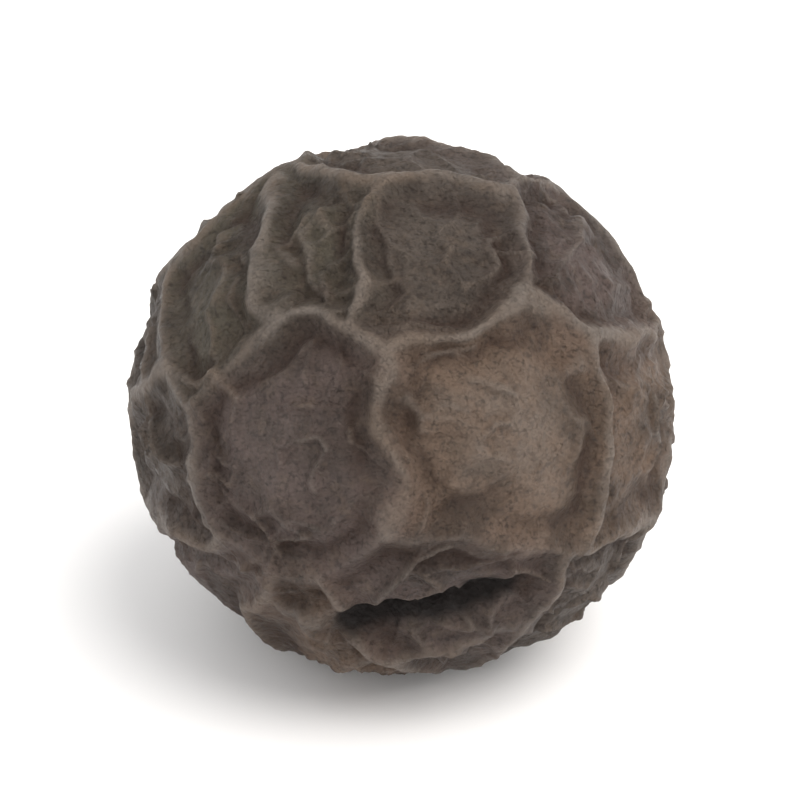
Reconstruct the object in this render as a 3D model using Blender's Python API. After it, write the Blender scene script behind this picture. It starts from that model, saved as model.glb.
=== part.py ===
"""A black peppercorn: the whole dried berry of the pepper vine, lying on a small flat spot.

The skin shrank as the berry dried, and stands up in a net of ridges. Beside each ridge it dips, and in the cells
between them it is dished or bulges a little, with lower side ridges. Low on the front it has one deep fold. A
round scar shows where the berry sat on its spike, and a small tip lies opposite. The berry is shaped on a ball
of radius one and then brought to its real size.

The front is the side that faces -Y. Metres, +Z up, origin at the middle of the base.
"""

import math

import bmesh
import bpy
import numpy as np
from mathutils import Matrix, Vector, noise

# Driving dimensions, in metres
BERRY_RADIUS = 0.00226
CREST_HEIGHT = 0.000150
CREST_WIDTH = 0.000110
WORN_HEIGHT = 0.000135
SIDE_RIDGE_HEIGHT = 0.000095
SIDE_RIDGE_WIDTH = 0.000070
DIP_DEPTH = 0.000040
DIP_AWAY = 0.00022
DIP_WIDTH = 0.00009
FLOOR_LIFT = 0.000130
FLOOR_EDGE = 0.00048
DIMPLE_DEPTH = 0.000030
FOLD_DEPTH = 0.00025
FOLD_WIDTH = 0.00015
LIP_HEIGHT = 0.00012
LIP_WIDTH = 0.00012
SCAR_RADIUS = 0.00042
SCAR_DEPTH = 0.00016
SCAR_RIM_HEIGHT = 0.00011
SCAR_RIM_WIDTH = 0.00009
SCAR_NUB_HEIGHT = 0.00007
SCAR_NUB_RADIUS = 0.00013
TIP_RADIUS = 0.00017
TIP_HEIGHT = 0.00007
REST_SPOT_RADIUS = 0.00060

# Shares of the berry's radius
AXIS_STRETCH = 0.025
LUMP_SHARE = 0.013
BUMP_SHARE = 0.009

# The net. The cells of the front are placed where the face of the berry shows them, as seen from the front and
# from VIEW_HEIGHT above it: how far across and how far up, in radii from the middle of what is seen. The third
# number is the level of the cell's floor, from -1 for a dished one to 1 for one that bulges.
VIEW_HEIGHT = math.radians(28)
FRONT_CELLS = {
    "top": (0.10, 0.58, -0.1),
    "top_left": (-0.31, 0.59, -0.3),
    "crown": (-0.03, 0.94, 0.1),
    "upper_left": (-0.64, 0.53, 0.2),
    "left": (-0.40, -0.05, 0.45),
    "left_rim": (-0.93, -0.12, 0.15),
    "right": (0.38, -0.04, 1),
    "upper_right": (0.66, 0.55, 0.2),
    "right_rim": (0.90, 0.00, 0.15),
    "below_right": (0.24, -0.80, -0.3),
    "under_right": (0.68, -0.68, 0.3),
    "low_left": (-0.72, -0.66, 0.4),
}
# How high a wall between two of these cells stands, for its height. A wall that isn't named gets one by chance.
FRONT_WALLS = {
    ("top", "top_left"): 0.80,
    ("top", "crown"): 1.00,
    ("top", "left"): 0.90,
    ("top", "right"): 0.95,
    ("top_left", "left"): 0.80,
    ("left", "right"): 0.75,
    ("left", "below_right"): 0.55,
    ("left", "low_left"): 0.60,
    ("right", "right_rim"): 0.90,
    ("right", "below_right"): 0.50,
}
OTHER_LEVELS = (-0.35, 0.65)
FOLD_LINE = ((-0.36, -0.77), (-0.14, -0.77), (0.08, -0.74), (0.28, -0.69), (0.44, -0.62))
LIP_BELOW = 0.14
STEM_END = Vector((-0.90, 0.40, 0.15)).normalized()
RIDGES_AT_SCAR = 6
RIDGES_AT_TIP = 5
END_CELL_ANGLE = math.radians(27)
SPREAD_CELLS = 34
SPREAD_JITTER = 0.16
LEAST_CELL_GAP = 0.50
FAINTEST_RIDGE = 0.55
FAINTEST_SIDE_RIDGE = 0.1
SIDE_CELLS = 95
SIDE_JITTER = 0.16
SEED = 29

# How ridges look. A ridge's height falls to its sides by a power of FLANK, and where ridges meet their heights
# are joined by a power of SMOOTH_UNION. What would stand higher than WORN_HEIGHT is worn down to it. Ridges
# wander, lean over, swell and die out by smooth noise, which is given by how fine it is on the ball and where in
# the noise it is read.
FLANK = 1.8
TIGHT_SKIN = 0.8
SMOOTH_UNION = 6.0
BLUNTNESS = 4.0
REACH_IN_WIDTHS = 6.0
WANDER = ((2.1, 0.11), (4.6, 0.07), (10.5, 0.022))
VECTOR_PLACES = (5.3, 17.9, 43.1)
LEAN = 0.40
LEAN_FINENESS = 1.7
HEIGHT_NOISE = (3.2, 31.0)
HEIGHT_CHANGE = 0.50
WIDTH_NOISE = (4.0, 71.0)
WIDTH_CHANGE = 0.40
PATCH_NOISE = (2.2, 4.0)
PATCH_LEVEL = 0.65
PATCH_CONTRAST = 1.8
DIMPLE_NOISE = (5.5, 47.0)
LUMP_NOISE = (1.3, 11.0)
BUMP_NOISE = (3.4, 23.0)

# How the ridges stop at the scar and at the flat spot, and how sharply the scar and the fold end
SCAR_CLEAR = (0.8, 1.3)
BASE_CLEAR = (1.0, 2.8)
SCAR_EDGE = 8
FOLD_END = 4

# The mesh
BALL_SUBDIVISIONS = 7
KEPT_FACES = 9400
SHARP_ANGLE = math.radians(60)
SAME_PLACE = 1e-6


def cleared_scene():
    for obj in list(bpy.data.objects):
        bpy.data.objects.remove(obj, do_unlink=True)


def seen_direction(across, up):
    """The direction from the berry's middle to a point of the face that it shows to the front."""
    towards = math.sqrt(max(0.0, 1.0 - across * across - up * up))
    back = up * math.sin(VIEW_HEIGHT) - towards * math.cos(VIEW_HEIGHT)
    rise = up * math.cos(VIEW_HEIGHT) + towards * math.sin(VIEW_HEIGHT)
    return Vector((across, back, rise)).normalized()


def spread_directions(count, jitter, draw):
    """Directions spread evenly along a spiral over the ball, each moved a little at random."""
    golden_turn = math.pi * (3.0 - math.sqrt(5.0))
    for index in range(count):
        height = 1.0 - (2.0 * index + 1.0) / count
        ring = math.sqrt(1.0 - height * height)
        turn = golden_turn * index
        shift = Vector(draw.uniform(-jitter, jitter, 3))
        yield (Vector((ring * math.cos(turn), ring * math.sin(turn), height)) + shift).normalized()


def ring_of_directions(axis, angle, count):
    """Directions round an axis, so that the ridges between their cells run out from it."""
    side = axis.orthogonal().normalized()
    leaning = axis * math.cos(angle) + side * math.sin(angle)
    for index in range(count):
        yield Matrix.Rotation(math.tau * index / count, 3, axis) @ leaning


def noise_over(points, fineness, place):
    return np.array([noise.noise(Vector(p) * fineness + Vector((place, place, place))) for p in points])


def noise_vectors(points, fineness):
    """Smooth noise that has a direction: three noises, each read at a place of its own."""
    return np.stack([noise_over(points, fineness, place) for place in VECTOR_PLACES], axis=1)


def wandering(points):
    """The points moved a little along the ball, so that straight arcs turn into wandering ridges."""
    moved = points.copy()
    for fineness, reach in WANDER:
        moved += reach * noise_vectors(points, fineness)
    return moved / np.linalg.norm(moved, axis=1)[:, None]


def half_wandering(points):
    """The points moved half as far, for what was laid out after the ridges had formed."""
    return (points + wandering(points)) / 2.0


def cell_middles(draw):
    """The middle of each cell of the net: the placed ones first, then those that fill the rest.

    They wander as the points of the ball do, and so they show where they are placed.
    """
    middles = [seen_direction(across, up) for across, up, _ in FRONT_CELLS.values()]
    middles += ring_of_directions(STEM_END, END_CELL_ANGLE, RIDGES_AT_SCAR)
    others = list(ring_of_directions(-STEM_END, END_CELL_ANGLE, RIDGES_AT_TIP))
    others += spread_directions(SPREAD_CELLS, SPREAD_JITTER, draw)
    for direction in others:
        if min(direction.angle(other) for other in middles) > LEAST_CELL_GAP:
            middles.append(direction)
    return [Vector(middle) for middle in wandering(np.array(middles))]


def ridge_arcs(middles):
    """The walls between the cells: the two ends of each, as directions, and the two cells that it parts.

    The walls join the middles of the triangles of a hull over the middles of the cells.
    """
    hull = bmesh.new()
    cell_of = {hull.verts.new(middle): index for index, middle in enumerate(middles)}
    bmesh.ops.convex_hull(hull, input=hull.verts)
    bmesh.ops.triangulate(hull, faces=hull.faces)
    bmesh.ops.recalc_face_normals(hull, faces=hull.faces)
    hull.normal_update()
    walls = [edge for edge in hull.edges if len(edge.link_faces) == 2]
    arcs = [tuple(np.array(face.normal) for face in wall.link_faces) for wall in walls]
    parted = [sorted(cell_of[vert] for vert in wall.verts) for wall in walls]
    hull.free()
    return arcs, parted


def wall_strengths(parted, draw):
    """How high each wall stands, from 0 to 1: by chance, or as the front shows it."""
    strengths = draw.uniform(FAINTEST_RIDGE, 1.0, len(parted))
    names = list(FRONT_CELLS)
    for place, (first, second) in enumerate(parted):
        if second < len(names):
            strengths[place] = FRONT_WALLS.get((names[first], names[second]), strengths[place])
    return strengths


def arc_distance(points, start, end):
    """How far each point of the ball lies from the arc between two others, in radii."""
    pole = np.cross(start, end)
    size = np.linalg.norm(pole)
    nearer_end = np.minimum(
        np.linalg.norm(points - start, axis=1), np.linalg.norm(points - end, axis=1)
    )
    if size < SAME_PLACE:
        return nearer_end
    pole /= size
    beside = (points @ np.cross(pole, start) > 0) & (points @ np.cross(end, pole) > 0)
    return np.where(beside, np.abs(points @ pole), nearer_end)


def net_relief(points, fatness, arcs, strengths, height, width):
    """The height of a net of ridges at each point, and how far the nearest ridge is, in metres."""
    total = np.zeros(len(points))
    nearest = np.full(len(points), np.inf)
    for (start, end), strength in zip(arcs, strengths):
        half_way = (start + end) / np.linalg.norm(start + end)
        reach = np.linalg.norm(start - end) / 2.0 + REACH_IN_WIDTHS * width / BERRY_RADIUS
        close = np.nonzero(np.linalg.norm(points - half_way, axis=1) < reach)[0]
        away = arc_distance(points[close], start, end) * BERRY_RADIUS
        nearest[close] = np.minimum(nearest[close], away)
        profile = (1.0 + (away / (width * fatness[close])) ** 2) ** -FLANK
        total[close] += (strength * profile) ** SMOOTH_UNION
    return height * total ** (1.0 / SMOOTH_UNION), nearest


def joined(first, second):
    """The two heights where one is plainly the higher, and a little more than both where they meet."""
    return (first ** SMOOTH_UNION + second ** SMOOTH_UNION) ** (1.0 / SMOOTH_UNION)


def worn(heights):
    """The heights with the tops of the highest ridges worn down."""
    return heights / (1.0 + (heights / WORN_HEIGHT) ** BLUNTNESS) ** (1.0 / BLUNTNESS)


def leaning(points):
    """Which way the ridges lean over at each point, along the ball, and how far for their height."""
    pull = noise_vectors(points, LEAN_FINENESS)
    return LEAN * (pull - points * (pull * points).sum(axis=1)[:, None])


def floor_levels(points, middles, from_ridge, draw):
    """How far the floor of its cell sinks or bulges at each point, from -1 to 1, and 0 at the ridges."""
    levels = [level for _, _, level in FRONT_CELLS.values()]
    levels = np.append(levels, draw.uniform(*OTHER_LEVELS, len(middles) - len(levels)))
    own_level = levels[np.argmax(points @ np.array(middles).T, axis=1)]
    return own_level * (1.0 - np.exp(-((from_ridge / FLOOR_EDGE) ** 2)))


def along_fold(points, width, below):
    """How near each point is to the line of the fold, or to one that runs below it, from 0 to 1."""
    line = half_wandering(np.array([seen_direction(across, up - below) for across, up in FOLD_LINE]))
    away = np.min([arc_distance(points, a, b) for a, b in zip(line, line[1:])], axis=0) * BERRY_RADIUS
    half_length = np.linalg.norm(line[0] - line[-1]) / 2.0
    along = np.linalg.norm(points - line[len(line) // 2], axis=1) / half_length
    return np.clip(1.0 - along ** FOLD_END, 0.0, 1.0) * np.exp(-((away / width) ** 2))


def end_relief(from_stem, from_tip):
    """The scar with its low rim and the nub in its middle, and the small tip opposite."""
    rim = SCAR_RIM_HEIGHT * np.exp(-(((from_stem - SCAR_RADIUS) / SCAR_RIM_WIDTH) ** 2))
    sunk = SCAR_DEPTH / (1.0 + (from_stem / SCAR_RADIUS) ** SCAR_EDGE)
    nub = SCAR_NUB_HEIGHT * np.exp(-((from_stem / SCAR_NUB_RADIUS) ** 2))
    return rim - sunk + nub + TIP_HEIGHT * np.exp(-((from_tip / TIP_RADIUS) ** 2))


def rising(values, start, full):
    """A share that goes from 0 at the start to 1 at the full value."""
    return np.clip((values - start) / (full - start), 0.0, 1.0)


def berry_points(points):
    """Where each point of the ball goes on the berry, at a radius of about one."""
    draw = np.random.default_rng(SEED)
    middles = cell_middles(draw)
    net, parted = ridge_arcs(middles)
    net_strengths = wall_strengths(parted, draw)
    side_net, _ = ridge_arcs(list(spread_directions(SIDE_CELLS, SIDE_JITTER, draw)))
    side_strengths = draw.uniform(FAINTEST_SIDE_RIDGE, 1.0, len(side_net))

    near = wandering(points)
    fatness = 1.0 + WIDTH_CHANGE * noise_over(points, *WIDTH_NOISE)
    crest, from_ridge = net_relief(near, fatness, net, net_strengths, CREST_HEIGHT, CREST_WIDTH)
    side, _ = net_relief(near, fatness, side_net, side_strengths, SIDE_RIDGE_HEIGHT, SIDE_RIDGE_WIDTH)
    crest *= 1.0 + HEIGHT_CHANGE * noise_over(points, *HEIGHT_NOISE)
    side *= np.clip(PATCH_LEVEL + PATCH_CONTRAST * noise_over(points, *PATCH_NOISE), 0.0, 1.0)
    bulge = floor_levels(near, middles, from_ridge, draw)
    side *= 1.0 - TIGHT_SKIN * np.maximum(bulge, 0.0)
    half_wandered = half_wandering(points)
    groove = along_fold(half_wandered, FOLD_WIDTH, 0.0)
    lip = LIP_HEIGHT * along_fold(half_wandered, LIP_WIDTH, LIP_BELOW)
    ridges = worn(joined(joined(crest, side) * (1.0 - groove), lip))
    dips = np.exp(-(((from_ridge - DIP_AWAY) / DIP_WIDTH) ** 2))
    floors = FLOOR_LIFT * bulge - DIP_DEPTH * dips + DIMPLE_DEPTH * noise_over(points, *DIMPLE_NOISE)

    stem, tip = half_wandering(np.array([STEM_END, -STEM_END]))
    from_stem = np.linalg.norm(half_wandered - stem, axis=1) * BERRY_RADIUS
    from_tip = np.linalg.norm(half_wandered - tip, axis=1) * BERRY_RADIUS
    off_scar = rising(from_stem / SCAR_RADIUS, *SCAR_CLEAR)
    from_base = np.hypot(points[:, 0], points[:, 1]) * BERRY_RADIUS
    off_base = np.where(points[:, 2] < 0, rising(from_base / REST_SPOT_RADIUS, *BASE_CLEAR), 1.0)

    relief = (ridges + floors) * off_scar + end_relief(from_stem, from_tip) - FOLD_DEPTH * groove
    lumps = LUMP_SHARE * noise_over(points, *LUMP_NOISE) + BUMP_SHARE * noise_over(points, *BUMP_NOISE)
    stretch = AXIS_STRETCH * (points @ np.array(STEM_END)) ** 2
    radii = 1.0 + stretch + (lumps + relief / BERRY_RADIUS) * off_base
    lean = leaning(points) * (ridges * off_scar * off_base / BERRY_RADIUS)[:, None]
    return points * radii[:, None] + lean


def dried_skin():
    """Dark dried skin, nearly black brown, with a faint sheen."""
    material = bpy.data.materials.new("dried_skin")
    material.use_nodes = True
    shader = material.node_tree.nodes["Principled BSDF"]
    shader.inputs["Base Color"].default_value = (0.062, 0.047, 0.040, 1.0)
    shader.inputs["Roughness"].default_value = 0.55
    shader.inputs["Metallic"].default_value = 0.0
    return material


def shaped_ball():
    """The ball with the berry's relief, at a radius of about one."""
    mesh = bpy.data.meshes.new("peppercorn")
    ball = bmesh.new()
    bmesh.ops.create_icosphere(ball, subdivisions=BALL_SUBDIVISIONS, radius=1.0)
    ball.to_mesh(mesh)
    ball.free()
    points = np.zeros(len(mesh.vertices) * 3, dtype=np.float32)
    mesh.vertices.foreach_get("co", points)
    points = points.reshape(-1, 3).astype(np.float64)
    points /= np.linalg.norm(points, axis=1)[:, None]
    shaped = berry_points(points)
    mesh.vertices.foreach_set("co", shaped.astype(np.float32).reshape(-1))
    mesh.update()
    return mesh


def thinned(mesh):
    """The same shape in fewer faces, long ones along the ridges and large ones on the cell floors."""
    guide = bpy.data.objects.new("thinning_guide", mesh)
    bpy.context.scene.collection.objects.link(guide)
    fewer = guide.modifiers.new("fewer_faces", "DECIMATE")
    fewer.ratio = KEPT_FACES / len(mesh.polygons)
    depsgraph = bpy.context.evaluated_depsgraph_get()
    result = bpy.data.meshes.new_from_object(guide.evaluated_get(depsgraph))
    bpy.data.objects.remove(guide, do_unlink=True)
    return result


def set_on_base(mesh):
    """Cuts the flat spot, brings the berry to its real size and stands it on the origin."""
    berry = bmesh.new()
    berry.from_mesh(mesh)
    spot = REST_SPOT_RADIUS / BERRY_RADIUS
    base = -math.sqrt(1.0 - spot * spot)
    cut = bmesh.ops.bisect_plane(
        berry,
        geom=berry.verts[:] + berry.edges[:] + berry.faces[:],
        plane_co=(0.0, 0.0, base),
        plane_no=(0.0, 0.0, -1.0),
        clear_outer=True,
    )
    rim = [item for item in cut["geom_cut"] if isinstance(item, bmesh.types.BMEdge)]
    bmesh.ops.holes_fill(berry, edges=rim)
    bmesh.ops.triangulate(berry, faces=[face for face in berry.faces if len(face.verts) > 3])
    bmesh.ops.recalc_face_normals(berry, faces=berry.faces)
    low = [min(vert.co[axis] for vert in berry.verts) for axis in range(3)]
    high = [max(vert.co[axis] for vert in berry.verts) for axis in range(3)]
    to_origin = Vector((-(low[0] + high[0]) / 2.0, -(low[1] + high[1]) / 2.0, -base))
    bmesh.ops.translate(berry, verts=berry.verts, vec=to_origin)
    bmesh.ops.scale(berry, verts=berry.verts, vec=(BERRY_RADIUS, BERRY_RADIUS, BERRY_RADIUS))
    berry.to_mesh(mesh)
    berry.free()


def peppercorn():
    mesh = thinned(shaped_ball())
    set_on_base(mesh)
    mesh.shade_smooth()
    mesh.set_sharp_from_angle(angle=SHARP_ANGLE)
    mesh.materials.clear()
    mesh.materials.append(dried_skin())
    berry = bpy.data.objects.new("peppercorn", mesh)
    collection = bpy.data.collections.new("black_peppercorn")
    bpy.context.scene.collection.children.link(collection)
    collection.objects.link(berry)
    return berry


cleared_scene()
peppercorn()
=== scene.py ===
# %% [markdown]
# # A black peppercorn
# A black peppercorn is the berry of the pepper vine, picked green and dried in the sun. The flesh under its
# skin dries away, and the skin is then too large for what is left, so it stands up in a net of ridges.
# Below, that skin is modelled over the plain solid of the part, coloured and lit. The first cell loads the
# solid, which gives the berry its true size and place, and keeps its box for later.

# %% Load the solid
import math

import bmesh
import bpy
import numpy as np
from mathutils import Matrix, Vector, noise


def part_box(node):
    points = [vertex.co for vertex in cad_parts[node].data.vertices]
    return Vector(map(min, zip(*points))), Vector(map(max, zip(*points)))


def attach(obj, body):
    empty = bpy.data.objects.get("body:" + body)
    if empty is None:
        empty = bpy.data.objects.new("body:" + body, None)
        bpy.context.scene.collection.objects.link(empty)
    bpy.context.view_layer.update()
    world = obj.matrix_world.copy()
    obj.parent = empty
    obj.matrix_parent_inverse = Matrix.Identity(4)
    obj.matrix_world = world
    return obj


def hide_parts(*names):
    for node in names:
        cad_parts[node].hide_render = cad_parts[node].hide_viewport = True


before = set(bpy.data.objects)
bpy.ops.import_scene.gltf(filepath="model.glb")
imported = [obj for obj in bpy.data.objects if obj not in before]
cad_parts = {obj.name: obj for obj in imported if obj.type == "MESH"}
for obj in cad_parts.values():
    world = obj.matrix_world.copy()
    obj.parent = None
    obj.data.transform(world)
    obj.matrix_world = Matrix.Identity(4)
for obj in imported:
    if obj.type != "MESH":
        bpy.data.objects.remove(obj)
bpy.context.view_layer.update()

SOLID = "peppercorn"
MILLIMETRES = 1000.0
low_corner, high_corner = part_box(SOLID)
print("the solid is", [round(MILLIMETRES * side, 2) for side in high_corner - low_corner], "mm")

# %% [markdown]
# The sizes of the relief are real ones, in metres, and can be measured on a peppercorn under a lens. The
# main ridges stand a bit over a tenth of a millimetre high and are about twice as wide. Beside each of them
# the skin dips. Side ridges branch off and die out in the cells, and the finest wrinkles lie between those.

# %% Sizes of the relief
BERRY_RADIUS = 0.00226
CREST_HEIGHT = 0.000150
CREST_WIDTH = 0.000110
WORN_HEIGHT = 0.000135
SIDE_RIDGE_HEIGHT = 0.000095
SIDE_RIDGE_WIDTH = 0.000070
WRINKLE_HEIGHT = 0.000078
WRINKLE_WIDTH = 0.000050
DIP_DEPTH = 0.000040
DIP_AWAY = 0.00022
DIP_WIDTH = 0.00009
FLOOR_LIFT = 0.000130
FLOOR_EDGE = 0.00048
DIMPLE_DEPTH = 0.000030
GRAIN_HEIGHT = 0.000026
FOLD_DEPTH = 0.00025
FOLD_WIDTH = 0.00015
LIP_HEIGHT = 0.00012
LIP_WIDTH = 0.00012
SCAR_RADIUS = 0.00042
SCAR_DEPTH = 0.00016
SCAR_RIM_HEIGHT = 0.00011
SCAR_RIM_WIDTH = 0.00009
SCAR_NUB_HEIGHT = 0.00007
SCAR_NUB_RADIUS = 0.00013
TIP_RADIUS = 0.00017
TIP_HEIGHT = 0.00007
REST_SPOT_RADIUS = 0.00060

# %% [markdown]
# The skin starts as an ico sphere, whose triangles are all much alike, so no pole shows in it. Its radius
# is one, because the tools are at ease at that size, and it comes to its real size at the end. It is cut
# finer in edit mode until an edge is about a thirtieth of a millimetre, a fraction of the width of a ridge.

# %% A fine ball
BALL_SUBDIVISIONS = 5
BALL_CUTS = 5

bpy.ops.object.select_all(action="DESELECT")
bpy.ops.mesh.primitive_ico_sphere_add(subdivisions=BALL_SUBDIVISIONS, radius=1.0)
skin = bpy.context.object
skin.name = "dried_berry"
bpy.ops.object.mode_set(mode="EDIT")
bpy.ops.mesh.select_all(action="SELECT")
bpy.ops.mesh.subdivide(number_cuts=BALL_CUTS)
bpy.ops.object.mode_set(mode="OBJECT")
ball_points = np.zeros(len(skin.data.vertices) * 3, dtype=np.float32)
skin.data.vertices.foreach_get("co", ball_points)
ball_points = ball_points.reshape(-1, 3).astype(np.float64)
ball_points /= np.linalg.norm(ball_points, axis=1)[:, None]
print("the ball has", len(skin.data.polygons), "faces")

# %% [markdown]
# Straight ridges would look like a cut gem. So the points of the ball are moved a little by smooth noise
# before the net is laid over them, and every ridge then wanders, in wide bends and in small ones. The noise
# that gives a direction at once starts from the time of day, and would draw another berry at each run, so
# three plain noises are read instead.

# %% Make the ridges wander
WANDER = ((2.1, 0.11), (4.6, 0.07), (10.5, 0.022))
VECTOR_PLACES = (5.3, 17.9, 43.1)


def noise_over(points, fineness, place):
    """Smooth noise at each point, from about -1 to 1, read at a place of its own."""
    return np.array([noise.noise(Vector(p) * fineness + Vector((place, place, place))) for p in points])


def noise_vectors(points, fineness):
    """Smooth noise that has a direction: three noises, each read at a place of its own."""
    return np.stack([noise_over(points, fineness, place) for place in VECTOR_PLACES], axis=1)


def wandering(points):
    """The points moved a little along the ball, so that straight arcs turn into wandering ridges."""
    moved = points.copy()
    for fineness, reach in WANDER:
        moved += reach * noise_vectors(points, fineness)
    return moved / np.linalg.norm(moved, axis=1)[:, None]


def half_wandering(points):
    """The points moved half as far, for what was laid out after the ridges had formed."""
    return (points + wandering(points)) / 2.0


near = wandering(ball_points)
print("points move by up to", round(float(np.abs(near - ball_points).max()), 3), "radii")

# %% [markdown]
# The cells that the front shows are placed one by one, each by the middle of its floor: how far across and
# how far up the seen face of the berry it lies, in radii. The third number says whether the floor is dished,
# down to minus one, or bulges, up to one. The last is the tone of its skin: grey, purple, tan or olive. The
# walls between cells fall halfway between their middles, as they do in the real skin, where each cell pulls
# at its neighbours. A deep fold runs low on the front, and a lip of skin lies a little below it.

# %% Cells of the front
VIEW_HEIGHT = math.radians(28)
FRONT_CELLS = {
    "top": (0.10, 0.58, -0.1, "grey"),
    "top_left": (-0.31, 0.59, -0.3, "olive"),
    "crown": (-0.03, 0.94, 0.1, "grey"),
    "upper_left": (-0.64, 0.53, 0.2, "olive"),
    "left": (-0.40, -0.05, 0.45, "purple"),
    "left_rim": (-0.93, -0.12, 0.15, "grey"),
    "right": (0.38, -0.04, 1.0, "tan"),
    "upper_right": (0.66, 0.55, 0.2, "purple"),
    "right_rim": (0.90, 0.00, 0.15, "tan"),
    "below_right": (0.24, -0.80, -0.3, "purple"),
    "under_right": (0.68, -0.68, 0.3, "grey"),
    "low_left": (-0.72, -0.66, 0.4, "purple"),
}
FOLD_LINE = ((-0.36, -0.77), (-0.14, -0.77), (0.08, -0.74), (0.28, -0.69), (0.44, -0.62))
LIP_BELOW = 0.14
print(len(FRONT_CELLS), "cells are placed by hand")


def seen_direction(across, up):
    """The direction from the berry's middle to a point of the face that it shows to the front."""
    towards = math.sqrt(max(0.0, 1.0 - across * across - up * up))
    back = up * math.sin(VIEW_HEIGHT) - towards * math.cos(VIEW_HEIGHT)
    rise = up * math.cos(VIEW_HEIGHT) + towards * math.sin(VIEW_HEIGHT)
    return Vector((across, back, rise)).normalized()


# %% [markdown]
# The rest of the berry needs cells too. Rings of them round the scar and the tip make the ridges there run
# out like spokes, as on a real berry, whose skin shrinks towards its two ends. A spiral with a little
# chance in it fills what is left evenly, where points thrown at random would leave gaps.

# %% Middles of all the cells
STEM_END = Vector((-0.90, 0.40, 0.15)).normalized()
RIDGES_AT_SCAR = 6
RIDGES_AT_TIP = 5
END_CELL_ANGLE = math.radians(27)
SPREAD_CELLS = 34
SPREAD_JITTER = 0.16
LEAST_CELL_GAP = 0.50
SEED = 29


def spread_directions(count, jitter, draw):
    """Directions spread evenly along a spiral over the ball, each moved a little at random."""
    golden_turn = math.pi * (3.0 - math.sqrt(5.0))
    for index in range(count):
        height = 1.0 - (2.0 * index + 1.0) / count
        ring = math.sqrt(1.0 - height * height)
        turn = golden_turn * index
        shift = Vector(draw.uniform(-jitter, jitter, 3))
        yield (Vector((ring * math.cos(turn), ring * math.sin(turn), height)) + shift).normalized()


def ring_of_directions(axis, angle, count):
    """Directions round an axis, so that the ridges between their cells run out from it."""
    side = axis.orthogonal().normalized()
    leaning = axis * math.cos(angle) + side * math.sin(angle)
    for index in range(count):
        yield Matrix.Rotation(math.tau * index / count, 3, axis) @ leaning


def cell_middles(draw):
    """The middle of each cell of the net: the placed ones first, then those that fill the rest.

    They wander as the points of the ball do, and so they show where they are placed.
    """
    middles = [seen_direction(across, up) for across, up, _, _ in FRONT_CELLS.values()]
    middles += ring_of_directions(STEM_END, END_CELL_ANGLE, RIDGES_AT_SCAR)
    others = list(ring_of_directions(-STEM_END, END_CELL_ANGLE, RIDGES_AT_TIP))
    others += spread_directions(SPREAD_CELLS, SPREAD_JITTER, draw)
    for direction in others:
        if min(direction.angle(other) for other in middles) > LEAST_CELL_GAP:
            middles.append(direction)
    return [Vector(middle) for middle in wandering(np.array(middles))]


draw = np.random.default_rng(SEED)
net_cells = cell_middles(draw)
print("the net has", len(net_cells), "cells")

# %% [markdown]
# A tight skin stretched over the middles of the cells is a convex hull of triangles. Each triangle
# faces a fork of the net, and two triangles that share an edge are joined by a ridge. So the hull tool
# draws the whole net, and no fork has to be placed by hand. A finer net gives the side ridges, and a
# finer one still the wrinkles. Each ridge gets a strength of its own, because in the real skin no two are
# alike. For the walls that the front shows plainly, the strength is given in a list.

# %% Ridges between the cells
FAINTEST_RIDGE = 0.55
FAINTEST_SIDE_RIDGE = 0.1
SIDE_CELLS = 95
SIDE_JITTER = 0.16
WRINKLE_CELLS = 620
WRINKLE_JITTER = 0.07
FRONT_WALLS = {
    ("top", "top_left"): 0.80,
    ("top", "crown"): 1.00,
    ("top", "left"): 0.90,
    ("top", "right"): 0.95,
    ("top_left", "left"): 0.80,
    ("left", "right"): 0.75,
    ("left", "below_right"): 0.55,
    ("left", "low_left"): 0.60,
    ("right", "right_rim"): 0.90,
    ("right", "below_right"): 0.50,
}


def ridge_arcs(middles):
    """The walls between the cells: the two ends of each, as directions, and the two cells that it parts.

    The walls join the middles of the triangles of a hull over the middles of the cells.
    """
    hull = bmesh.new()
    cell_of = {hull.verts.new(middle): index for index, middle in enumerate(middles)}
    bmesh.ops.convex_hull(hull, input=hull.verts)
    bmesh.ops.triangulate(hull, faces=hull.faces)
    bmesh.ops.recalc_face_normals(hull, faces=hull.faces)
    hull.normal_update()
    walls = [edge for edge in hull.edges if len(edge.link_faces) == 2]
    arcs = [tuple(np.array(face.normal) for face in wall.link_faces) for wall in walls]
    parted = [sorted(cell_of[vert] for vert in wall.verts) for wall in walls]
    hull.free()
    return arcs, parted


def wall_strengths(parted, draw):
    """How high each wall stands, from 0 to 1: by chance, or as the front shows it."""
    strengths = draw.uniform(FAINTEST_RIDGE, 1.0, len(parted))
    names = list(FRONT_CELLS)
    for place, (first, second) in enumerate(parted):
        if second < len(names):
            strengths[place] = FRONT_WALLS.get((names[first], names[second]), strengths[place])
    return strengths


net, parted = ridge_arcs(net_cells)
net_strengths = wall_strengths(parted, draw)
side_net, _ = ridge_arcs(list(spread_directions(SIDE_CELLS, SIDE_JITTER, draw)))
side_strengths = draw.uniform(FAINTEST_SIDE_RIDGE, 1.0, len(side_net))
print(len(net), "ridges and", len(side_net), "side ridges")

# %% [markdown]
# The height of the skin at a point depends on how far the point lies from the ridges near it. The height
# falls off steeply at first and then gently, as skin hangs from a fold. Where ridges meet, their heights
# are joined smoothly, so a fork swells a little, and the highest tops are worn down, as they rub in the
# sack. No operator draws such a net, so it is worked out for each point.

# %% Height of a net of ridges
FLANK = 1.8
SMOOTH_UNION = 6.0
BLUNTNESS = 4.0
REACH_IN_WIDTHS = 6.0
SAME_PLACE = 1e-6


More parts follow.
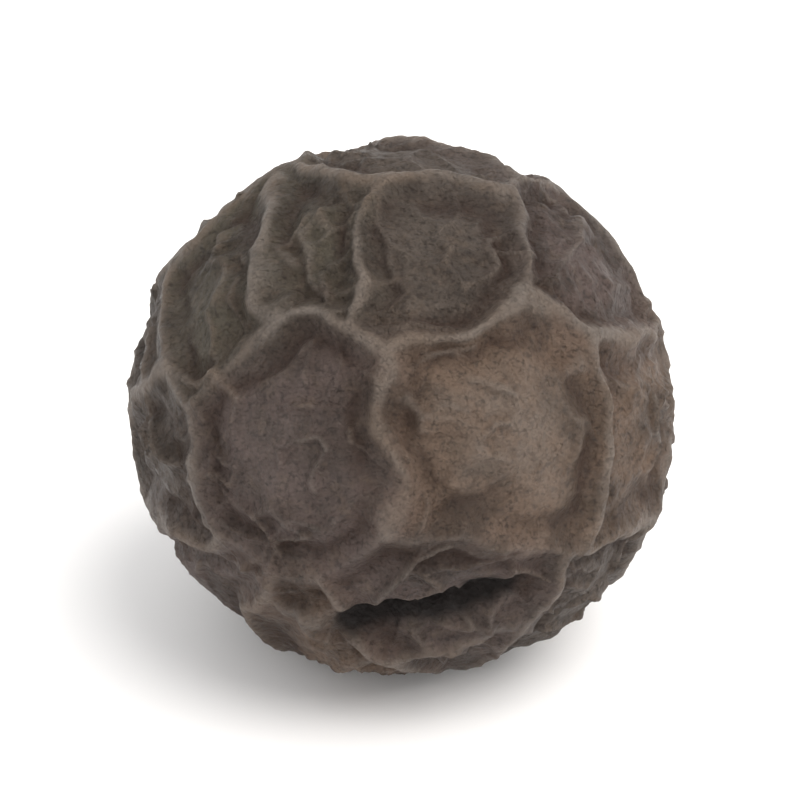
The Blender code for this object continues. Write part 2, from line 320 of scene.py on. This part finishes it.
def arc_distance(points, start, end):
    """How far each point of the ball lies from the arc between two others, in radii."""
    pole = np.cross(start, end)
    size = np.linalg.norm(pole)
    nearer_end = np.minimum(
        np.linalg.norm(points - start, axis=1), np.linalg.norm(points - end, axis=1)
    )
    if size < SAME_PLACE:
        return nearer_end
    pole /= size
    beside = (points @ np.cross(pole, start) > 0) & (points @ np.cross(end, pole) > 0)
    return np.where(beside, np.abs(points @ pole), nearer_end)


def net_relief(points, fatness, arcs, strengths, height, width):
    """The height of a net of ridges at each point, and how far the nearest ridge is, in metres."""
    total = np.zeros(len(points))
    nearest = np.full(len(points), np.inf)
    for (start, end), strength in zip(arcs, strengths):
        half_way = (start + end) / np.linalg.norm(start + end)
        reach = np.linalg.norm(start - end) / 2.0 + REACH_IN_WIDTHS * width / BERRY_RADIUS
        close = np.nonzero(np.linalg.norm(points - half_way, axis=1) < reach)[0]
        away = arc_distance(points[close], start, end) * BERRY_RADIUS
        nearest[close] = np.minimum(nearest[close], away)
        profile = (1.0 + (away / (width * fatness[close])) ** 2) ** -FLANK
        total[close] += (strength * profile) ** SMOOTH_UNION
    return height * total ** (1.0 / SMOOTH_UNION), nearest


def joined(first, second):
    """The two heights where one is plainly the higher, and a little more than both where they meet."""
    return (first ** SMOOTH_UNION + second ** SMOOTH_UNION) ** (1.0 / SMOOTH_UNION)


def worn(heights):
    """The heights with the tops of the highest ridges worn down."""
    return heights / (1.0 + (heights / WORN_HEIGHT) ** BLUNTNESS) ** (1.0 / BLUNTNESS)


# %% [markdown]
# Real ridges change along their way: they swell, thin out and die away. Slow noise does that to the main
# net and to the side ridges. It is given by how fine it is on the ball and where in the noise it is read.

# %% Ridges and side ridges
HEIGHT_NOISE = (3.2, 31.0)
HEIGHT_CHANGE = 0.50
WIDTH_NOISE = (4.0, 71.0)
WIDTH_CHANGE = 0.40
PATCH_NOISE = (2.2, 4.0)
PATCH_LEVEL = 0.65
PATCH_CONTRAST = 1.8

fatness = 1.0 + WIDTH_CHANGE * noise_over(ball_points, *WIDTH_NOISE)
crest, from_ridge = net_relief(near, fatness, net, net_strengths, CREST_HEIGHT, CREST_WIDTH)
side, _ = net_relief(near, fatness, side_net, side_strengths, SIDE_RIDGE_HEIGHT, SIDE_RIDGE_WIDTH)
crest *= 1.0 + HEIGHT_CHANGE * noise_over(ball_points, *HEIGHT_NOISE)
side *= np.clip(PATCH_LEVEL + PATCH_CONTRAST * noise_over(ball_points, *PATCH_NOISE), 0.0, 1.0)
print("the ridges stand up to", round(MILLIMETRES * float(crest.max()), 3), "mm high")

# %% [markdown]
# Beside a ridge the skin dips, because the ridge took it from there. The floor of the cell then follows the
# dry flesh below: some floors sink, and some bulge between their dips. Bulging stretches the skin, so side
# ridges fade there.

# %% Floors of the cells
DIMPLE_NOISE = (5.5, 47.0)
OTHER_LEVELS = (-0.35, 0.65)
TIGHT_SKIN = 0.8

levels = [level for _, _, level, _ in FRONT_CELLS.values()]
levels = np.append(levels, draw.uniform(*OTHER_LEVELS, len(net_cells) - len(levels)))
own_level = levels[np.argmax(near @ np.array(net_cells).T, axis=1)]
bulge = own_level * (1.0 - np.exp(-((from_ridge / FLOOR_EDGE) ** 2)))
side *= 1.0 - TIGHT_SKIN * np.maximum(bulge, 0.0)
dips = np.exp(-(((from_ridge - DIP_AWAY) / DIP_WIDTH) ** 2))
floors = FLOOR_LIFT * bulge - DIP_DEPTH * dips + DIMPLE_DEPTH * noise_over(ball_points, *DIMPLE_NOISE)
floor_range = [round(MILLIMETRES * float(height), 3) for height in (floors.min(), floors.max())]
print("the floors lie from", floor_range[0], "to", floor_range[1], "mm")

# %% [markdown]
# The finest wrinkles are a third net, with cells a third of a millimetre wide. They are strongest in
# patches, and run up the flanks of the ridges but not over their worn crests.

# %% Fine wrinkles
WRINKLE_PATCHES = (3.1, 61.0)
WRINKLE_LEVEL = 0.85
WRINKLE_CONTRAST = 1.6
WORN_CREST = 0.7

wrinkle_net, _ = ridge_arcs(list(spread_directions(WRINKLE_CELLS, WRINKLE_JITTER, draw)))
wrinkle_strengths = draw.uniform(0.0, 1.0, len(wrinkle_net))
wrinkle, _ = net_relief(near, fatness, wrinkle_net, wrinkle_strengths, WRINKLE_HEIGHT, WRINKLE_WIDTH)
wrinkle *= np.clip(WRINKLE_LEVEL + WRINKLE_CONTRAST * noise_over(ball_points, *WRINKLE_PATCHES), 0.0, 1.0)
wrinkle *= 1.0 - WORN_CREST * np.clip(crest / CREST_HEIGHT, 0.0, 1.0)
print(len(wrinkle_net), "wrinkles stand up to", round(MILLIMETRES * float(wrinkle.max()), 3), "mm high")

# %% [markdown]
# Low on the front the skin has folded over itself in one deep crease. Where the berry sat on its spike
# there is a round scar with a low rim and a nub in its middle, and opposite it the small tip that the
# flower left.

# %% Fold, scar and tip
FOLD_END = 4
SCAR_EDGE = 8
SCAR_WALL_RADIUS = 0.00033
SCAR_WALL_WIDTH = 0.00007


def along_fold(points, width, below):
    """How near each point is to the line of the fold, or to one that runs below it, from 0 to 1."""
    line = half_wandering(np.array([seen_direction(across, up - below) for across, up in FOLD_LINE]))
    away = np.min([arc_distance(points, a, b) for a, b in zip(line, line[1:])], axis=0) * BERRY_RADIUS
    half_length = np.linalg.norm(line[0] - line[-1]) / 2.0
    along = np.linalg.norm(points - line[len(line) // 2], axis=1) / half_length
    return np.clip(1.0 - along ** FOLD_END, 0.0, 1.0) * np.exp(-((away / width) ** 2))


half_wandered = half_wandering(ball_points)
groove = along_fold(half_wandered, FOLD_WIDTH, 0.0)
lip = LIP_HEIGHT * along_fold(half_wandered, LIP_WIDTH, LIP_BELOW)

stem_place, tip_place = half_wandering(np.array([STEM_END, -STEM_END]))
from_stem = np.linalg.norm(half_wandered - stem_place, axis=1) * BERRY_RADIUS
from_tip = np.linalg.norm(half_wandered - tip_place, axis=1) * BERRY_RADIUS
rim = np.exp(-(((from_stem - SCAR_RADIUS) / SCAR_RIM_WIDTH) ** 2))
scar = 1.0 / (1.0 + (from_stem / SCAR_RADIUS) ** SCAR_EDGE)
# painted shade: a ring on the scar's floor, under the wall of its rim
painted_scar_rim_shade = np.exp(-(((from_stem - SCAR_WALL_RADIUS) / SCAR_WALL_WIDTH) ** 2))
tip = np.exp(-((from_tip / TIP_RADIUS) ** 2))
nub = np.exp(-((from_stem / SCAR_NUB_RADIUS) ** 2))
ends = SCAR_RIM_HEIGHT * rim - SCAR_DEPTH * scar + SCAR_NUB_HEIGHT * nub + TIP_HEIGHT * tip
print("the fold is", round(MILLIMETRES * FOLD_DEPTH * float(groove.max()), 3), "mm deep")

# %% [markdown]
# The body under the skin isn't a true ball: it is a little longer from scar to tip, and gently lumpy. All
# the heights are now added up, and each point of the ball is moved out or in, as a sculpting brush would.
# The ridges also lean over to one side or another, as a fold of skin does. Scar and foot stay clear of
# ridges.

# %% Shape the skin
AXIS_STRETCH = 0.025
LUMP_SHARE = 0.013
BUMP_SHARE = 0.009
LUMP_NOISE = (1.3, 11.0)
BUMP_NOISE = (3.4, 23.0)
LEAN = 0.40
LEAN_FINENESS = 1.7
SCAR_CLEAR = (0.8, 1.3)
BASE_CLEAR = (1.0, 2.8)


def rising(values, start, full):
    """A share that goes from 0 at the start to 1 at the full value."""
    return np.clip((values - start) / (full - start), 0.0, 1.0)


def leaning(points):
    """Which way the ridges lean over at each point, along the ball, and how far for their height."""
    pull = noise_vectors(points, LEAN_FINENESS)
    return LEAN * (pull - points * (pull * points).sum(axis=1)[:, None])


off_scar = rising(from_stem / SCAR_RADIUS, *SCAR_CLEAR)
from_base = np.hypot(ball_points[:, 0], ball_points[:, 1]) * BERRY_RADIUS
off_base = np.where(ball_points[:, 2] < 0, rising(from_base / REST_SPOT_RADIUS, *BASE_CLEAR), 1.0)
ridges = worn(joined(joined(crest, side) * (1.0 - groove), lip))
relief = (ridges + floors + wrinkle) * off_scar + ends - FOLD_DEPTH * groove
lumps = LUMP_SHARE * noise_over(ball_points, *LUMP_NOISE) + BUMP_SHARE * noise_over(ball_points, *BUMP_NOISE)
stretch = AXIS_STRETCH * (ball_points @ np.array(STEM_END)) ** 2
radii = 1.0 + stretch + (lumps + relief / BERRY_RADIUS) * off_base
lean = leaning(ball_points) * (ridges * off_scar * off_base / BERRY_RADIUS)[:, None]
shaped = (ball_points * radii[:, None] + lean).astype(np.float32)
skin.data.vertices.foreach_set("co", shaped.reshape(-1))
skin.data.update()
print("the skin lies from", round(float(radii.min()), 3), "to", round(float(radii.max()), 3), "radii out")

# %% [markdown]
# The dry skin has a grain finer than any wrinkle. It follows no plan, so a Displace modifier with a cloud
# texture makes it, and is applied.

# %% Grain of the skin
GRAIN_SIZE = 0.04
GRAIN_DEPTH = 2
MIDDLE_GREY = 0.5

grain = bpy.data.textures.new("skin_grain", "CLOUDS")
grain.noise_scale = GRAIN_SIZE
grain.noise_depth = GRAIN_DEPTH
roughened = skin.modifiers.new("skin_grain", "DISPLACE")
roughened.texture = grain
roughened.texture_coords = "LOCAL"
roughened.mid_level = MIDDLE_GREY
roughened.strength = GRAIN_HEIGHT / BERRY_RADIUS
bpy.ops.object.modifier_apply(modifier="skin_grain")
print("the grain is", round(MILLIMETRES * GRAIN_HEIGHT, 3), "mm high")

# %% [markdown]
# The colours follow the relief: worn crests are pale, and on the bulges the pale is partly rubbed skin and
# partly a painted highlight. Shade is painted dark into the dips, the fold and a ring under the scar's rim.
# Each cell also has a tone of its own, which runs a little into its neighbours. The material can't know
# where a ridge is, so these values are kept on the points of the skin, as attributes.

# %% Values for the colours
TONES = {
    "grey": (0.101, 0.079, 0.065),
    "purple": (0.112, 0.080, 0.071),
    "tan": (0.176, 0.118, 0.083),
    "olive": (0.087, 0.073, 0.052),
}
TONE_BLEND = 30.0


def stored(name, values):
    """Keeps a value for each point of the skin, for the material to read."""
    layer = skin.data.attributes.new(name, "FLOAT", "POINT")
    layer.data.foreach_set("value", np.asarray(values, dtype=np.float32))


stored("crest", np.clip(joined(crest * (1.0 - groove), lip) / WORN_HEIGHT, 0.0, 1.0) * off_scar)
stored("side_ridge", np.clip(side / SIDE_RIDGE_HEIGHT, 0.0, 1.0) * off_scar)
stored("wrinkle", np.clip(wrinkle / WRINKLE_HEIGHT, 0.0, 1.0) * off_scar)
stored("dip", dips)
stored("bulge", np.clip(bulge, 0.0, 1.0))
stored("fold", groove)
stored("scar", scar)
stored("painted_scar_rim_shade", painted_scar_rim_shade)
stored("nub", nub)
stored("rim", rim)

tone_names = [tone for _, _, _, tone in FRONT_CELLS.values()]
tone_names += list(draw.choice(list(TONES), len(net_cells) - len(tone_names)))
closeness = near @ np.array(net_cells).T
weights = np.exp(TONE_BLEND * (closeness - closeness.max(axis=1)[:, None]))
weights /= weights.sum(axis=1)[:, None]
tones = np.ones((len(ball_points), 4), dtype=np.float32)
tones[:, :3] = weights @ np.array([TONES[tone] for tone in tone_names])
tone_layer = skin.data.attributes.new("tone", "FLOAT_COLOR", "POINT")
tone_layer.data.foreach_set("color", tones.reshape(-1))
print({tone: tone_names.count(tone) for tone in TONES})

# %% [markdown]
# The peppercorn lies on a small flat spot. Bisect cuts it in edit mode and fills the cut. Then the skin is
# brought to its real size: it takes the box of the solid exactly, so it stays in the solid's place to a
# hair.

# %% Set it on its base
base = -math.sqrt(1.0 - (REST_SPOT_RADIUS / BERRY_RADIUS) ** 2)
bpy.ops.object.mode_set(mode="EDIT")
bpy.ops.mesh.select_all(action="SELECT")
bpy.ops.mesh.bisect(plane_co=(0, 0, base), plane_no=(0, 0, -1), use_fill=True, clear_outer=True)
bpy.ops.object.mode_set(mode="OBJECT")
corners = np.zeros(len(skin.data.vertices) * 3, dtype=np.float32)
skin.data.vertices.foreach_get("co", corners)
corners = corners.reshape(-1, 3).astype(np.float64)
low, high = corners.min(axis=0), corners.max(axis=0)
wanted_low, wanted_high = np.array(low_corner), np.array(high_corner)
print("it is scaled by", (MILLIMETRES * (wanted_high - wanted_low) / (high - low)).round(3), "to millimetres")
corners = wanted_low + (corners - low) * (wanted_high - wanted_low) / (high - low)
skin.data.vertices.foreach_set("co", corners.astype(np.float32).reshape(-1))
skin.data.update()
bpy.ops.object.shade_smooth()
print("the skin has", len(skin.data.polygons), "faces")

# %% [markdown]
# ## The finish of the skin
# The colour is laid on in layers, like glazes. The tone of the cell is the ground. Clouds, freckles and
# specks of noise break it up, each at its own size. Noise is read from the place on the object, in
# millimetres, so it stays where it is when the camera moves. First comes the material.

# %% The material
material = bpy.data.materials.new("dried_skin")
material.use_nodes = True
nodes, links = material.node_tree.nodes, material.node_tree.links
shader = nodes["Principled BSDF"]
place = nodes.new("ShaderNodeTexCoord")
in_millimetres = nodes.new("ShaderNodeMapping")
in_millimetres.inputs["Scale"].default_value = (MILLIMETRES, MILLIMETRES, MILLIMETRES)
links.new(place.outputs["Object"], in_millimetres.inputs["Vector"])
print("the material is", material.name)

# %% [markdown]
# Each layer needs the same few nodes: a value kept on the skin, noise, a change of range, and a mix. A
# helper for each keeps the layers below to a line or two. A mix node has sockets of the same name for each
# kind of data, so those for colours are asked for by number.

# %% Helpers for the layers
UNDER_SOCKET = 6
OVER_SOCKET = 7
MIXED_SOCKET = 2


def kept_value(name, socket="Fac"):
    """A value that was kept on the points of the skin."""
    node = nodes.new("ShaderNodeAttribute")
    node.attribute_name = name
    return node.outputs[socket]


def clouds(fineness, detail, roughness):
    """Noise from 0 to 1, with so many clouds to a millimetre."""
    node = nodes.new("ShaderNodeTexNoise")
    node.inputs["Scale"].default_value = fineness
    node.inputs["Detail"].default_value = detail
    node.inputs["Roughness"].default_value = roughness
    links.new(in_millimetres.outputs["Vector"], node.inputs["Vector"])
    return node.outputs["Fac"]


def spread(value, start, full, lowest=0.0, highest=1.0):
    """The value brought from one range to another, smoothly, and held at the ends."""
    node = nodes.new("ShaderNodeMapRange")
    node.interpolation_type = "SMOOTHSTEP"
    for socket, number in (("From Min", start), ("From Max", full), ("To Min", lowest), ("To Max", highest)):
        node.inputs[socket].default_value = number
    links.new(value, node.inputs["Value"])
    return node.outputs["Result"]


def times(first, second):
    """The product of two values."""
    node = nodes.new("ShaderNodeMath")
    node.operation = "MULTIPLY"
    links.new(first, node.inputs[0])
    links.new(second, node.inputs[1])
    return node.outputs[0]


def laid_over(under, colour, share):
    """A colour over another, as thick as the share says."""
    node = nodes.new("ShaderNodeMix")
    node.data_type = "RGBA"
    links.new(share, node.inputs["Factor"])
    links.new(under, node.inputs[UNDER_SOCKET])
    if isinstance(colour, tuple):
        node.inputs[OVER_SOCKET].default_value = (*colour, 1.0)
    else:
        links.new(colour, node.inputs[OVER_SOCKET])
    return node.outputs[MIXED_SOCKET]


helpers = (kept_value, clouds, spread, times, laid_over)
print("the layers are built with", [helper.__name__ for helper in helpers])

# %% [markdown]
# Dry skin is never one colour. Dark clouds two thirds of a millimetre wide lie under brown freckles, and
# those under black specks that are just visible. A loop lays them on, so a layer is added or changed in one
# line.

# %% Clouds, freckles and specks
MOTTLING = (
    # The noise (fineness, detail, roughness), where the layer starts and is full, its thickness and colour
    ((1.4, 4.0, 0.6), (0.42, 0.62), 0.60, (0.040, 0.029, 0.022)),
    ((5.0, 6.0, 0.7), (0.50, 0.70), 0.45, (0.145, 0.104, 0.075)),
    ((22.0, 3.0, 0.6), (0.52, 0.66), 0.50, (0.018, 0.012, 0.010)),
)

colour = kept_value("tone", "Color")
for noise_shape, (start, full), thickness, tint in MOTTLING:
    colour = laid_over(colour, tint, spread(clouds(*noise_shape), start, full, 0.0, thickness))
print(len(MOTTLING), "layers of mottling")

# %% [markdown]
# Where the skin dips beside a ridge, shade is painted into it, dark and reddish. Where a ridge stands out
# the skin has rubbed bare, and that dust is pale. On a bulging floor the same pale is partly rubbed skin and
# partly a painted highlight. Noise breaks each of these up, or they would look drawn with a pen.

# %% Painted shade in the dips, pale rubbed skin and painted highlight
DIP_SHADE_CLOUDS = (1.7, 3.0, 0.6)
DIP_SHADE_SHARES = (0.2, 0.75)
PAINTED_DIP_SHADE = (0.044, 0.024, 0.017)
CLOUD_RANGE = (0.38, 0.62)
PALE_CLOUDS = (1.1, 2.0, 0.5)
PALE_GREY = (0.208, 0.174, 0.148)
PALE_BROWN = (0.188, 0.140, 0.106)
WEAR_AND_PAINTED_LIGHT_CLOUDS = (4.0, 6.0, 0.7)
WEAR_AND_PAINTED_LIGHT_RANGE = (0.30, 0.58)
WEAR_AND_PAINTED_LIGHT_SHARES = (0.30, 1.0)
RUBBED_AND_PAINTED_HIGHLIGHT = (
    # The kept value, where the pale colour starts and is full, and how thick it gets
    # the bulges: partly rubbed skin, partly a painted highlight on the bulging floors
    ("bulge", (0.25, 0.85), 0.50),
    ("wrinkle", (0.30, 0.90), 0.40),
    ("side_ridge", (0.25, 0.90), 0.50),
    ("crest", (0.35, 0.95), 0.80),
)

# painted shade: the dips beside the ridges are darkened and reddened in patches
patchy_dip_shade = spread(clouds(*DIP_SHADE_CLOUDS), *CLOUD_RANGE, *DIP_SHADE_SHARES)
colour = laid_over(colour, PAINTED_DIP_SHADE, times(kept_value("dip"), patchy_dip_shade))
brown_share = spread(clouds(*PALE_CLOUDS), *CLOUD_RANGE)
pale = nodes.new("ShaderNodeRGB")
pale.outputs[0].default_value = (*PALE_GREY, 1.0)
pale = laid_over(pale.outputs[0], PALE_BROWN, brown_share)
# patches that break up the rubbed pale, the painted highlight, the scar's colours and its painted shade
wear_and_painted_light = spread(clouds(*WEAR_AND_PAINTED_LIGHT_CLOUDS), *WEAR_AND_PAINTED_LIGHT_RANGE, *WEAR_AND_PAINTED_LIGHT_SHARES)
for name, (start, full), thickness in RUBBED_AND_PAINTED_HIGHLIGHT:
    share = spread(kept_value(name), start, full, 0.0, thickness)
    colour = laid_over(colour, pale, times(share, wear_and_painted_light))
print(len(RUBBED_AND_PAINTED_HIGHLIGHT), "forms are rubbed pale")

# %% [markdown]
# Deep in the fold no light arrives, and that shade is painted in nearly black. The scar is bare stalk wood,
# so its floor is browner than the skin, and paler on the nub and on the rim, which rub bare. On its floor,
# under the wall of its rim, a dark ring of painted shade is laid.

# %% Fold and scar
FOLD_RANGE = (0.10, 0.60)
FOLD_COLOUR = (0.010, 0.006, 0.005)
SCAR_LAYERS = (
    # The kept value, the colour of the layer, where it starts and is full, and how thick it gets
    ("scar", (0.105, 0.066, 0.040), (0.0, 1.0), 0.75),
    # painted shade under the wall of the scar's rim
    ("painted_scar_rim_shade", (0.022, 0.013, 0.009), (0.1, 1.0), 0.80),
    ("nub", (0.190, 0.140, 0.095), (0.2, 0.9), 0.80),
    ("rim", (0.170, 0.128, 0.092), (0.4, 1.0), 0.75),
)

colour = laid_over(colour, FOLD_COLOUR, spread(kept_value("fold"), *FOLD_RANGE))
for name, tint, (start, full), thickness in SCAR_LAYERS:
    share = spread(kept_value(name), start, full, 0.0, thickness)
    colour = laid_over(colour, tint, times(share, wear_and_painted_light))
links.new(colour, shader.inputs["Base Color"])
print("the colour takes", len(nodes), "nodes")

# %% [markdown]
# Dried skin has a dull, waxy gloss that changes from patch to patch. Its finest roughness is too small for
# the mesh, so bump gives it: a grain of clouds, and little pits a twentieth of a millimetre wide between
# them.

# %% Gloss and the finest roughness
GLOSS_CLOUDS = (3.5, 3.0, 0.5)
GLOSS_RANGE = (0.30, 0.70)
ROUGHNESS = (0.36, 0.58)
SPECULAR = 0.32
GRAIN_CLOUDS = (13.0, 6.0, 0.72)
GRAIN_BUMP = 0.00010
PITS_PER_MILLIMETRE = 17.0
PIT_BUMP = 0.00004

links.new(spread(clouds(*GLOSS_CLOUDS), *GLOSS_RANGE, *ROUGHNESS), shader.inputs["Roughness"])
shader.inputs["Specular IOR Level"].default_value = SPECULAR
pits = nodes.new("ShaderNodeTexVoronoi")
pits.inputs["Scale"].default_value = PITS_PER_MILLIMETRE
links.new(in_millimetres.outputs["Vector"], pits.inputs["Vector"])
pitted = nodes.new("ShaderNodeBump")
pitted.inputs["Distance"].default_value = PIT_BUMP
links.new(pits.outputs["Distance"], pitted.inputs["Height"])
grainy = nodes.new("ShaderNodeBump")
grainy.inputs["Distance"].default_value = GRAIN_BUMP
links.new(clouds(*GRAIN_CLOUDS), grainy.inputs["Height"])
links.new(pitted.outputs["Normal"], grainy.inputs["Normal"])
links.new(grainy.outputs["Normal"], shader.inputs["Normal"])
print("the finished material has", len(nodes), "nodes")

# %% [markdown]
# The skin gets its material and takes the solid's place in the model.

# %% The skin takes the solid's place
skin.data.materials.append(material)
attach(skin, "root")
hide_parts(SOLID)
print(skin.name, "stands for", SOLID)

# %% [markdown]
# ## The picture
# The peppercorn lies on a plain white ground. A wide flat circle is enough: it runs on past the edge of the
# picture, so no line shows behind.

# %% Floor
FLOOR_RADIUS = 0.6
FLOOR_CORNERS = 96
FLOOR_WHITE = (0.92, 0.92, 0.93, 1.0)
FLOOR_ROUGHNESS = 0.9

bpy.ops.object.select_all(action="DESELECT")
bpy.ops.mesh.primitive_circle_add(vertices=FLOOR_CORNERS, radius=FLOOR_RADIUS, fill_type="NGON")
floor = bpy.context.object
floor.name = "floor"
white_ground = bpy.data.materials.new("white_ground")
white_ground.use_nodes = True
white_ground.node_tree.nodes["Principled BSDF"].inputs["Base Color"].default_value = FLOOR_WHITE
white_ground.node_tree.nodes["Principled BSDF"].inputs["Roughness"].default_value = FLOOR_ROUGHNESS
floor.data.materials.append(white_ground)
print("the floor is", 2 * FLOOR_RADIUS, "m wide")

# %% [markdown]
# The light is that of a bright room: an even white sky, and one large soft window high up on the right. The
# window is a sun lamp with a wide angle, because a far light gives the same light at any size of object,
# where the power of a near lamp would have to be worked out for one of five millimetres.

# %% Light
SKY_COLOUR = (1.0, 0.99, 0.975, 1.0)
SKY_STRENGTH = 1.05
WINDOW_TURN = math.radians(62)
WINDOW_HEIGHT = math.radians(58)
WINDOW_STRENGTH = 2.7
WINDOW_SPREAD = math.radians(48)
WINDOW_COLOUR = (1.0, 0.965, 0.92)

world = bpy.data.worlds.new("soft_sky")
bpy.context.scene.world = world
world.use_nodes = True
world.node_tree.nodes["Background"].inputs["Color"].default_value = SKY_COLOUR
world.node_tree.nodes["Background"].inputs["Strength"].default_value = SKY_STRENGTH
lamp = bpy.data.lights.new("window", "SUN")
lamp.energy = WINDOW_STRENGTH
lamp.angle = WINDOW_SPREAD
lamp.color = WINDOW_COLOUR
window = bpy.data.objects.new("window", lamp)
bpy.context.scene.collection.objects.link(window)
to_window = Vector((
    math.sin(WINDOW_TURN) * math.cos(WINDOW_HEIGHT),
    -math.cos(WINDOW_TURN) * math.cos(WINDOW_HEIGHT),
    math.sin(WINDOW_HEIGHT),
))
window.rotation_euler = to_window.to_track_quat("Z", "Y").to_euler()
print("the window stands", round(math.degrees(WINDOW_HEIGHT)), "degrees high")

# %% [markdown]
# The camera looks at the middle of the berry from the front and a little above, at the angle at which the
# face of the berry was laid out. A long lens from close by keeps the ball from bulging at the viewer.

# %% Camera
LENS = 100.0
CAMERA_AWAY = 0.0195
NEAREST = 0.0005
FARTHEST = 10.0

camera_data = bpy.data.cameras.new("camera")
camera_data.lens = LENS
camera_data.clip_start = NEAREST
camera_data.clip_end = FARTHEST
camera = bpy.data.objects.new("camera", camera_data)
bpy.context.scene.collection.objects.link(camera)
middle = (Vector(low_corner) + Vector(high_corner)) / 2.0
away = Vector((0.0, -math.cos(VIEW_HEIGHT), math.sin(VIEW_HEIGHT)))
camera.location = middle + away * CAMERA_AWAY
camera.rotation_euler = (-away).to_track_quat("-Z", "Y").to_euler()
bpy.context.scene.camera = camera
bpy.context.scene.view_settings.view_transform = "Standard"
print("the camera is", MILLIMETRES * CAMERA_AWAY, "mm away")
